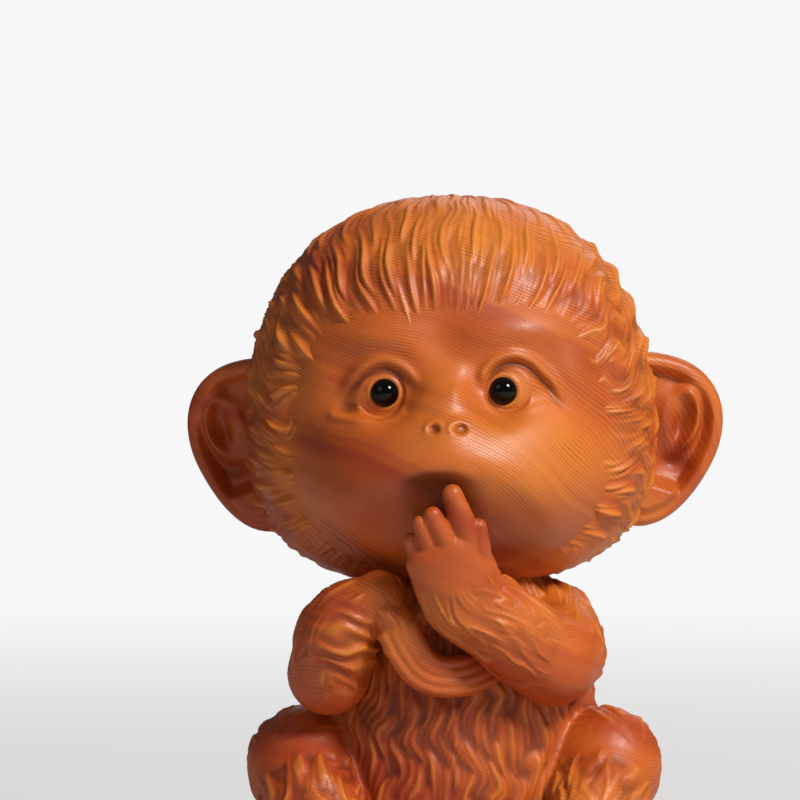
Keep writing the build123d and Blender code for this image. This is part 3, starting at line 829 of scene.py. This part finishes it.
def onTorso(shares):
    return [np.array(share) * torsoHalf * (1, -1, 1) for share in shares]


def onHand(share):
    return mouthPoint + np.array(share) * handSize * (1, -1, 1)


# The ways along the three axes
wayX, wayY, wayZ = np.eye(3)

armFur = {"length": 6.5, "height": 0.38, "width": 0.9, "hook": 0.4, "sharp": 2.2, "tip": 0.35}

# Each finger has its root, its tip and its thickness
raisedArmLook = {
    "voxel": 0.16, "smoothing": 3, "fur": dict(armFur, length=9.0), "contrast": 1.2,
    "upper": [(0.66, 0.10, 0.83), (0.72, 0.55, 0.77), (0.66, 0.90, 0.74)],
    "wrist": (0.27, -0.55, -1.72), "knuckles": (0.02, -0.18, -0.98),
    "fingers": [
        ((0.32, -0.16, -0.84), (0.11, 0.05, -0.11), 2.6 * 0.96),
        ((0.14, -0.19, -1.06), (-0.12, 0.10, -0.42), 2.6 * 0.84),
        ((-0.07, -0.22, -1.16), (-0.27, 0.05, -0.54), 2.6 * 0.72),
        ((-0.24, -0.32, -1.28), (-0.39, -0.12, -0.78), 2.6 * 0.60),
        ((0.46, -0.31, -1.14), (0.42, -0.08, -0.60), 2.6 * 0.78),
    ],
    "jointRise": 0.22, "upperWidths": (9.6, 9.6, 9.0), "foreWidths": (9.0, 8.6, 8.2),
    "foreDepths": (9.0, 8.4, 6.0), "palmWidths": (8.2, 8.6, 8.2), "palmDepths": (6.0, 5.0, 3.9),
}


def makeRaisedArm(look):
    upper = onTorso(look["upper"])
    elbow, wrist, knuckles = upper[-1], onHand(look["wrist"]), onHand(look["knuckles"])
    fore = [elbow, (elbow + wrist) / 2, wrist]
    parts = [makeLimb(upper, look["upperWidths"], side=wayX),
             makeLimb(fore, look["foreWidths"], look["foreDepths"]),
             makeLimb([wrist, (wrist + knuckles) / 2, knuckles], look["palmWidths"], look["palmDepths"])]
    for root, tip, thick in look["fingers"]:
        root, tip = onHand(root), onHand(tip)
        joint = (root + tip) / 2 - look["jointRise"] * wayY
        parts.append(makeLimb([root, joint, tip], (thick, thick * 1.04, thick * 0.84), around=28))
    limbs = [
        (upper, (4.8, 4.8, 4.5), wayX, 16, 0.05, -1),
        (fore + [knuckles, knuckles * 1.6 - wrist * 0.6], (4.5, 4.2, 3.6, 3.2, 1.0), wayY,
         15, 0.03, 1, (-9, 14.5)),
    ]
    skin = melt("raisedArm", parts, look)
    return carvedObject("raisedArm", skin, limbFur(skin[0], limbs, look["fur"], 51), look)


raisedArm = makeRaisedArm(raisedArmLook)

foldedArmLook = {
    "voxel": 0.17, "smoothing": 5, "fur": armFur, "contrast": 1.4,
    "upper": [(-0.58, 0.10, 0.86), (-0.78, 0.48, 0.78), (-0.86, 0.76, 0.70)],
    "fore": [(-0.86, 0.80, 0.70), (-0.76, 1.02, 0.86), (-0.52, 1.12, 0.955)],
    "hand": [(-0.50, 1.12, 0.965), (-0.41, 1.22, 0.87), (-0.32, 1.20, 0.785), (-0.19, 1.15, 0.715),
             (0.03, 1.05, 0.70), (0.30, 0.86, 0.74)],
    "upperWidths": (8.4, 8.4, 8.4), "foreWidths": (8.4, 8.4, 5.2),
    "handWidths": (4.6, 4.3, 4.2, 4.0), "handDepths": (3.8, 3.6, 3.2, 2.8),
    "fingerWidths": (1.5, 1.5, 1.4), "fingerDepths": (2.6, 2.4, 2.0),
    "fingerPitch": 0.92, "foldPitch": 1.70, "foldHeight": 0.27,
}


def makeFoldedArm(look):
    upper, fore, hand = (onTorso(look[key]) for key in ("upper", "fore", "hand"))
    parts = [makeLimb(upper, look["upperWidths"], side=wayX),
             makeLimb(fore, look["foreWidths"]),
             makeLimb(hand[:4], look["handWidths"], look["handDepths"])]
    # the fingers fan out a little across the hand and run in under the other elbow
    line, heading, _ = smoothLine(hand, 10)
    aside = np.cross(heading, wayY)
    aside /= np.linalg.norm(aside, axis=1, keepdims=True)
    for number in (-1.5, -0.5, 0.5, 1.5):
        finger = line + aside * (number * look["fingerPitch"]) + (0.12 * abs(number) - 0.55) * wayY
        parts.append(makeLimb(finger[12::5], look["fingerWidths"], look["fingerDepths"], around=24))
    limbs = [
        (upper, (4.2, 4.2, 4.2), wayX, 15, 0.05, -1),
        (fore, (4.2, 4.2, 2.6), wayY, 15, 0.05, 1),
        (hand, (2.6, 2.4, 1.9), wayY, 6, 0, 1, (-9, 4.0)),
    ]
    skin = melt("foldedArm", parts, look)
    carved = limbFur(skin[0], limbs, look["fur"], 71)
    # short wavy folds lie across the front of the arm
    x, y, z = skin[0].T
    bent = z + 0.42 * np.sin(x / 0.80 + 0.9 * z) + 0.10 * x + 0.5 * softNoise(77, x / 3.2, z / 2.1)
    wave = (0.5 + 0.5 * np.cos(2 * math.pi * bent / look["foldPitch"])) ** 1.6
    front = bump(x, z, -10.6, 25.2, 3.2, 4.2, 3) * ease(-8, -11, y)
    carved = carved * (1 - front) + look["foldHeight"] * (1.5 * wave - 0.5) * front
    return carvedObject("foldedArm", skin, carved, look)


foldedArm = makeFoldedArm(foldedArmLook)

bodyLook = {
    "voxel": 0.27, "smoothing": 5, "contrast": 1.7, "bellyShade": 0.17,
    "fur": {"length": 6.5, "height": 0.50, "width": 0.95, "hook": 0.4, "sharp": 2.3, "tip": 0.30},
    "belly": 11.3, "rise": 23.1, "drop": 17.9, "square": 2.6,
    "hunch": {"middle": (0, 6.0, 20.7), "half": (12.5, 9.0, 10.5)},
    "thigh": [(0.55, -0.12, 0.32), (0.85, 0.18, 0.37), (1.03, 0.42, 0.395)],
    "shin": [(1.02, 0.46, 0.37), (0.92, 0.92, 0.24), (0.66, 1.12, 0.12)],
    "heel": (0.60, 0.98, 0.064), "footSize": (10.0, -10.0, 4.4), "toePitch": 1.53,
    "thighWidths": (13.0, 13.0, 11.8), "shinWidths": (11.8, 9.1, 6.4), "footWidths": (4.4, 4.4),
    "footDepths": (6.4, 6.6), "toeWidths": (2.0, 2.0), "tailWidths": (4.2, 4.2, 2.4),
    "tailAngles": (-8, 96), "tailLevels": (3.8, 1.95), "tailOut": 1.176,
}


def makeBody(look):
    wide, deep = torsoHalf[:2]
    parts = [makeEgg((0, 0, look["belly"]), (wide, deep, look["rise"]), look["drop"], look["square"], 96, 60),
             makeEgg(look["hunch"]["middle"], look["hunch"]["half"])]
    limbs = [([(0, 0, -2), (0, 0, 12), (0, 0, 30)], (12.2, 13.6, 12.0), wayY, 62, 0, -1)]
    for side in (1, -1):
        flip = np.array([side, 1, 1])
        thigh, shin = (np.array(onTorso(look[key])) * flip for key in ("thigh", "shin"))
        heel = onTorso([look["heel"]])[0] * flip
        foot = np.array(look["footSize"]) * flip
        ball = heel + foot * (-0.12, 0.62, -0.03)
        parts += [makeLimb(thigh, look["thighWidths"], side=wayZ),
                  makeLimb(shin, look["shinWidths"], side=wayX),
                  makeLimb([heel, ball], look["footWidths"], look["footDepths"], side=wayX)]
        # four toes, and the big toe on the inner side
        toes = [(ball + look["toePitch"] * number * wayX, (-0.02, 0.24, -0.08))
                for number in (-1.5, -0.5, 0.5, 1.5)]
        toes.append((heel + foot * (-0.20, 0.30, 0), (-0.25, 0.26, -0.04)))
        for root, reach in toes:
            parts.append(makeLimb([root, root + foot * reach], look["toeWidths"], around=24))
        limbs += [
            (thigh, (6.5, 6.5, 5.9), wayZ, 22, 0.03, -1),
            (shin, (5.9, 4.5, 3.2), wayX, 18, 0.02, -1, (-9, 14.5)),
            ([heel, ball, 2 * ball - heel], (3.2, 3.2, 2.0), wayX, 6, 0, -1, (-9, 1.2)),
        ]
    # the tail, laid round the left hip at the base
    turn = np.radians(np.linspace(*look["tailAngles"], 9))
    levels = np.linspace(*look["tailLevels"], 9)
    height = np.abs(levels - look["belly"]) / look["drop"]
    ring = (1 - height ** look["square"]) ** (1 / look["square"])
    tail = np.stack([(wide * ring + look["tailOut"]) * np.sin(turn),
                     (deep * ring + look["tailOut"]) * np.cos(turn), levels], axis=-1)
    parts.append(makeLimb(tail, look["tailWidths"], side=wayZ, around=36))
    limbs.append((tail, (2.1, 2.1, 1.2), wayZ, 6, 0, -1))
    points, normals, faceSets = melt("body", parts, look)
    carved = limbFur(points, limbs, look["fur"], 91)
    shown = points + normals * carved[:, None]
    # sawn flat below, where the carving stands
    shown[:, 2] = np.maximum(shown[:, 2], 0.0)
    x, y, z = points.T
    carved = np.where(z < 0.05, 0, carved)
    # painted shade on the belly under the arms
    hollow = bump(x, z, -1.5, 16.0, 8.5, 5.0) * ease(-6, -10, y)
    return makeObject("body", shown, faceSets, carved * look["contrast"] - look["bellyShade"] * hollow)


body = makeBody(bodyLook)


# Eye beads

beadLook = {"around": 72, "rings": 40, "radius": 1.5, "flatten": 0.03}


# A ball turned so that its poles are at the front and back, a hair flatter in front
def makeBead(name, side, look):
    turn = np.linspace(0, math.pi, look["rings"] + 2)[1:-1]
    angle = np.linspace(0, 2 * math.pi, look["around"], endpoint=False)
    turn, angle = np.meshgrid(turn, angle, indexing="ij")
    reach = look["radius"] * (1 - look["flatten"] * np.cos(turn / 2) ** 8)
    out = reach * np.sin(turn)
    sheet = np.stack([out * np.cos(angle), -reach * np.cos(turn), out * np.sin(angle)], axis=-1)
    front = (0, -look["radius"] * (1 - look["flatten"]), 0)
    flat, faceSets = closedGrid(sheet, front, (0, look["radius"], 0))
    flat = fromHead(flat + np.array([side * beadSeat["x"], beadSeat["y"], beadSeat["z"]]))
    return makeObject(name, flat, faceSets)


leftBead = makeBead("leftBead", 1, beadLook)
rightBead = makeBead("rightBead", -1, beadLook)


# Materials

# A colour as the shaders take it, from its code in sRGB
def linear(code):
    values = [int(code[k:k + 2], 16) / 255 for k in (0, 2, 4)]
    return [v / 12.92 if v < 0.04045 else ((v + 0.055) / 1.055) ** 2.4 for v in values] + [1]


# Places nodes and joins them, so a material reads as a list of steps
class NodeDesk:
    def __init__(self, tree):
        self.tree = tree

    def add(self, kind, inputs=None, **settings):
        node = self.tree.nodes.new(kind)
        for key, value in settings.items():
            setattr(node, key, value)
        for key, value in (inputs or {}).items():
            self.put(node.inputs[key], value)
        return node

    def put(self, socket, value):
        if isinstance(value, bpy.types.NodeSocket):
            self.tree.links.new(value, socket)
        else:
            socket.default_value = value

    def math(self, operation, first, second=0.0, third=0.0):
        return self.add("ShaderNodeMath", {0: first, 1: second, 2: third}, operation=operation).outputs[0]

    def times(self, first, second):
        return self.math("MULTIPLY", first, second)

    def plus(self, first, second):
        return self.math("ADD", first, second)

    def vector(self, operation, first, second=(0, 0, 0), out=0):
        return self.add("ShaderNodeVectorMath", {0: first, 1: second}, operation=operation).outputs[out]

    # the object's own coordinates, in millimetres
    def place(self):
        return self.vector("MULTIPLY", self.add("ShaderNodeTexCoord").outputs["Object"], (1000, 1000, 1000))

    def noise(self, place, scale, detail=2.0, rough=0.5):
        inputs = {"Vector": place, "Scale": scale, "Detail": detail, "Roughness": rough}
        return self.add("ShaderNodeTexNoise", inputs).outputs["Fac"]

    # noise along one value alone
    def lineNoise(self, value, scale, detail, rough=0.5):
        return self.noise(self.add("ShaderNodeCombineXYZ", {"X": value}).outputs[0], scale, detail, rough)

    def step(self, value, low, high, toLow=0.0, toHigh=1.0):
        inputs = {"Value": value, "From Min": low, "From Max": high, "To Min": toLow, "To Max": toHigh}
        return self.add("ShaderNodeMapRange", inputs, interpolation_type="SMOOTHSTEP").outputs["Result"]

    # two colours mixed by a share
    def mix(self, share, first, second):
        return self.add("ShaderNodeMix", {0: share, 6: first, 7: second}, data_type="RGBA").outputs[2]


# A desk for the nodes of a material or world, which starts with none
def emptyDesk(owner):
    owner.use_nodes = True
    owner.node_tree.nodes.clear()
    return NodeDesk(owner.node_tree)


# A material with a surface that its own function builds from a desk
def makeMaterial(name, surface, look):
    material = bpy.data.materials.new(name)
    desk = emptyDesk(material)
    desk.add("ShaderNodeOutputMaterial", {"Surface": surface(desk, look)})
    return material


ringsLook = {
    "slope": (0.30, 0.06, 0.88), "steep": 0.34, "level": 39, "half": 9,
    "slow": 4.5, "quick": 0.62, "rough": 0.06, "faintFrom": 39.0, "faintTo": 25.0, "faintest": 0.62,
}


# Growth rings: layers of wood that slope down to the right, more steeply across the muzzle, bent
# by three noises. A place's layer is 0.30 x + 0.06 y + 0.88 z + 0.34 x exp(-((z - 39) / 9) ** 2),
# counted in rings. Each ring is pale early wood that darkens into a thin late line. Lines are
# stronger in some rings and places than in others, and fainter from the chin down. Gives the
# line mask, a broad band mask and fine pores.
def growthRings(look):
    group = bpy.data.node_groups.new("growthRings", "ShaderNodeTree")
    for name, value in (("Spacing", 0.4), ("Line", 0.3)):
        socket = group.interface.new_socket(name, in_out="INPUT", socket_type="NodeSocketFloat")
        socket.default_value = value
    desk = NodeDesk(group)
    given = desk.add("NodeGroupInput").outputs
    place = desk.place()
    slow = desk.noise(place, 0.045, 2.0, 0.5)
    quick = desk.noise(place, 0.25, 2.0, 0.55)
    rough = desk.noise(place, 2.2, 2.0, 0.6)
    axes = desk.add("ShaderNodeSeparateXYZ", {0: place}).outputs
    height = desk.math("MULTIPLY_ADD", axes["Z"], 1 / look["half"], -look["level"] / look["half"])
    turn = desk.math("EXPONENT", desk.times(desk.times(height, height), -1))
    steep = desk.times(desk.times(axes["X"], look["steep"]), turn)
    layer = desk.plus(steep, desk.vector("DOT_PRODUCT", place, look["slope"], out=1))
    bend = desk.math("MULTIPLY_ADD", quick, look["quick"], desk.times(rough, look["rough"]))
    bend = desk.math("MULTIPLY_ADD", slow, look["slow"], bend)
    distance = desk.plus(bend, layer)
    rings = desk.math("DIVIDE", distance, given["Spacing"])
    share = desk.math("FRACT", rings)
    line = desk.times(desk.step(share, desk.math("SUBTRACT", 0.92, given["Line"]), 0.90),
                      desk.step(share, 1.0, 0.93))
    strength = desk.step(desk.lineNoise(desk.math("FLOOR", rings), 0.71, 1.0), 0.25, 0.75, 0.45, 1.0)
    patchy = desk.step(desk.noise(place, 0.16, 2.0, 0.5), 0.34, 0.58, 0.35, 1.0)
    faint = desk.step(axes["Z"], look["faintTo"], look["faintFrom"], look["faintest"], 1.0)
    masks = {
        "Lines": desk.times(line, desk.times(strength, desk.times(patchy, faint))),
        "Bands": desk.lineNoise(desk.times(distance, 0.16), 1.0, 3.0, 0.6),
        "Pores": desk.noise(place, 5.0, 3.0, 0.6),
    }
    for name in masks:
        group.interface.new_socket(name, in_out="OUTPUT", socket_type="NodeSocketFloat")
    desk.add("NodeGroupOutput", masks)
    return group


woodLook = {
    "early": "cd641c", "warm": "a83a0a", "late": "641a05", "deep": "4a1203", "gold": "e08a2e",
    "spacing": 0.29, "line": 0.36, "grain": 0.22, "grainDepth": 0.00006,
    "roughLow": 0.44, "roughHigh": 0.62, "coat": 0.10, "coatRough": 0.30,
}


# Polished wood: paler and redder patches, partly painted light, then the rings' lines and pores,
# then painted shade that darkens the carving's hollows and a painted highlight that pales its crests
def woodSurface(desk, look):
    rings = desk.add("ShaderNodeGroup", node_tree=growthRings(ringsLook))
    rings.inputs["Spacing"].default_value = look["spacing"]
    rings.inputs["Line"].default_value = look["line"]
    lines, bands, pores = (rings.outputs[key] for key in ("Lines", "Bands", "Pores"))
    place = desk.place()
    relief = desk.add("ShaderNodeAttribute", attribute_name="relief").outputs["Fac"]
    # painted light: the wood is yellower above and to the right, towards the key lamp, and redder below,
    # where shade falls; the noise patches on top of it are the wood's own
    paintedLightTrend = desk.vector("DOT_PRODUCT", place, (0.0060, 0.0, 0.0035), out=1)
    patchesAndPaintedLight = desk.plus(desk.noise(place, 0.075, 1.0, 0.4), desk.plus(paintedLightTrend, -0.15))
    # each step mixes in one colour by a share
    color = linear(look["early"])
    for key, share in (
        ("warm", desk.step(bands, 0.38, 0.68)),
        ("gold", desk.step(patchesAndPaintedLight, 0.42, 0.85, 0, 0.62)),
        ("warm", desk.step(patchesAndPaintedLight, 0.56, 0.16, 0, 0.65)),
        ("late", desk.times(lines, 0.76)),
        ("late", desk.step(pores, 0.62, 0.82, 0, 0.22)),
        # painted shade (deep) where the painted shading is below zero, in hollows, and a painted highlight
        # (gold) where it is above zero, on crests
        ("deep", desk.step(relief, 0.0, -0.32, 0, 0.60)),
        ("gold", desk.step(relief, 0.04, 0.34, 0, 0.38)),
    ):
        color = desk.mix(share, color, linear(look[key]))
    worn = desk.plus(pores, desk.times(lines, 0.3))
    height = desk.plus(desk.times(lines, -0.5), desk.times(pores, 0.35))
    grain = desk.add("ShaderNodeBump", {
        "Height": height, "Strength": look["grain"], "Distance": look["grainDepth"],
    })
    return desk.add("ShaderNodeBsdfPrincipled", {
        "Base Color": color, "Roughness": desk.step(worn, 0.3, 0.9, look["roughLow"], look["roughHigh"]),
        "Normal": grain.outputs["Normal"], "IOR": 1.48,
        "Coat Weight": look["coat"], "Coat Roughness": look["coatRough"],
    }).outputs["BSDF"]


glossLook = {"dark": "050404", "cloud": "120b08", "roughLow": 0.03, "roughHigh": 0.10, "specular": 0.28}


# Glossy black with a faint brown cloud
def beadSurface(desk, look):
    place = desk.place()
    cloud = desk.step(desk.noise(place, 1.3, 2.0, 0.5), 0.45, 0.75)
    rough = desk.step(desk.noise(place, 6.0, 2.0, 0.5), 0.3, 0.8, look["roughLow"], look["roughHigh"])
    return desk.add("ShaderNodeBsdfPrincipled", {
        "Base Color": desk.mix(cloud, linear(look["dark"]), linear(look["cloud"])),
        "Roughness": rough, "IOR": 1.45, "Specular IOR Level": look["specular"],
    }).outputs["BSDF"]


wood = makeMaterial("polishedWood", woodSurface, woodLook)
blackBead = makeMaterial("blackBead", beadSurface, glossLook)
print("materials made")

for piece in (furCap, face, leftEar, rightEar, raisedArm, foldedArm, body):
    piece.data.materials.append(wood)
    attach(piece, "root")
    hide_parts("carved_monkey")
for piece, node in ((leftBead, "left_eye_bead"), (rightBead, "right_eye_bead")):
    piece.data.materials.append(blackBead)
    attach(piece, "root")
    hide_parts(node)
print("pieces placed")


# Floor, light and camera

stageLook = {
    "floor": "dad7d2", "floorRough": 0.8, "half": 3.0, "nearGlow": 0.5, "glowFrom": 0.06, "glowTo": 0.50,
    "sky": (0.93, 0.93, 0.94, 1), "skyLight": 0.12, "skyColor": (0.9, 0.92, 1.0, 1),
}


# Far from the carving, the camera sees the floor as pale as the sky
def floorSurface(desk, look):
    shader = desk.add("ShaderNodeBsdfPrincipled", {
        "Base Color": linear(look["floor"]), "Roughness": look["floorRough"],
    })
    place = desk.add("ShaderNodeTexCoord").outputs["Object"]
    far = desk.vector("LENGTH", place, out=1)
    far = desk.step(far, look["glowFrom"], look["glowTo"], look["nearGlow"], 1.0)
    seen = desk.times(far, desk.add("ShaderNodeLightPath").outputs["Is Camera Ray"])
    glow = desk.add("ShaderNodeEmission", {"Color": look["sky"], "Strength": 1.0})
    return desk.add("ShaderNodeMixShader", {0: seen, 1: shader.outputs[0], 2: glow.outputs[0]}).outputs[0]


def makeFloor(look):
    mesh = bpy.data.meshes.new("floor")
    corners = [(x * look["half"], y * look["half"], 0) for x, y in ((-1, -1), (1, -1), (1, 1), (-1, 1))]
    mesh.from_pydata(corners, [], [(0, 1, 2, 3)])
    mesh.materials.append(makeMaterial("paleFloor", floorSurface, look))
    addObject("floor", mesh)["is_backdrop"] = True


def makeSky(look):
    world = bpy.data.worlds.new("studio")
    bpy.context.scene.world = world
    desk = emptyDesk(world)
    path = desk.add("ShaderNodeLightPath").outputs
    shown = desk.math("MAXIMUM", path["Is Camera Ray"], path["Is Transmission Ray"])
    soft = desk.add("ShaderNodeBackground", {"Color": look["skyColor"], "Strength": look["skyLight"]})
    seen = desk.add("ShaderNodeBackground", {"Color": look["sky"], "Strength": 1.0})
    blend = desk.add("ShaderNodeMixShader", {0: shown, 1: soft.outputs[0], 2: seen.outputs[0]})
    desk.add("ShaderNodeOutputWorld", {"Surface": blend.outputs[0]})


# Puts a holder at a spot and turns it to look along a direction
def aimed(holder, spot, direction):
    holder.location = spot
    holder.rotation_euler = Vector(direction).to_track_quat("-Z", "Y").to_euler()
    return holder


# Each lamp: its spot, the height on the carving it is aimed at, its size, power and colour
lampLook = {
    "key": ((0.30, -0.31, 0.40), 0.045, 0.16, 3.4, (1.0, 0.97, 0.92)),
    "fill": ((-0.36, -0.36, 0.34), 0.04, 0.30, 0.22, (1.0, 0.97, 0.95)),
    "rim": ((0.10, 0.40, 0.30), 0.05, 0.26, 0.30, (1.0, 0.98, 0.96)),
}


def makeLamp(name, spot, aim, size, power, color):
    lamp = bpy.data.lights.new(name, "AREA")
    lamp.shape, lamp.size, lamp.energy, lamp.color = "DISK", size, power, color
    aimed(addObject(name, lamp), spot, Vector((0, 0, aim)) - Vector(spot))


makeFloor(stageLook)
makeSky(stageLook)
for name, settings in lampLook.items():
    makeLamp(name, *settings)

cameraLook = {
    "middle": (-5.5, -12.0, 49.5), "width": 80.0, "distance": 600.0, "elevation": 1.5, "sensor": 36,
    "near": 0.01, "far": 20,
}


def makeCamera(look):
    camera = bpy.data.cameras.new("camera")
    camera.sensor_width = look["sensor"]
    camera.lens = look["sensor"] * look["distance"] / look["width"]
    camera.clip_start, camera.clip_end = look["near"], look["far"]
    lift = math.radians(look["elevation"])
    back = np.array([0, -math.cos(lift), math.sin(lift)]) * (look["distance"] / 1000)
    holder = addObject("camera", camera)
    bpy.context.scene.camera = aimed(holder, Vector(toFrame(np.array(look["middle"])) + back), -back)


makeCamera(cameraLook)
bpy.context.scene.view_settings.view_transform = "Standard"
print("stage set")

low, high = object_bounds()
for label, ends in (("visual", (low, high)), ("cad", (cadLow, cadHigh))):
    print(label, "size", [round((b - a) * 1000, 2) for a, b in zip(*ends)], "mm")
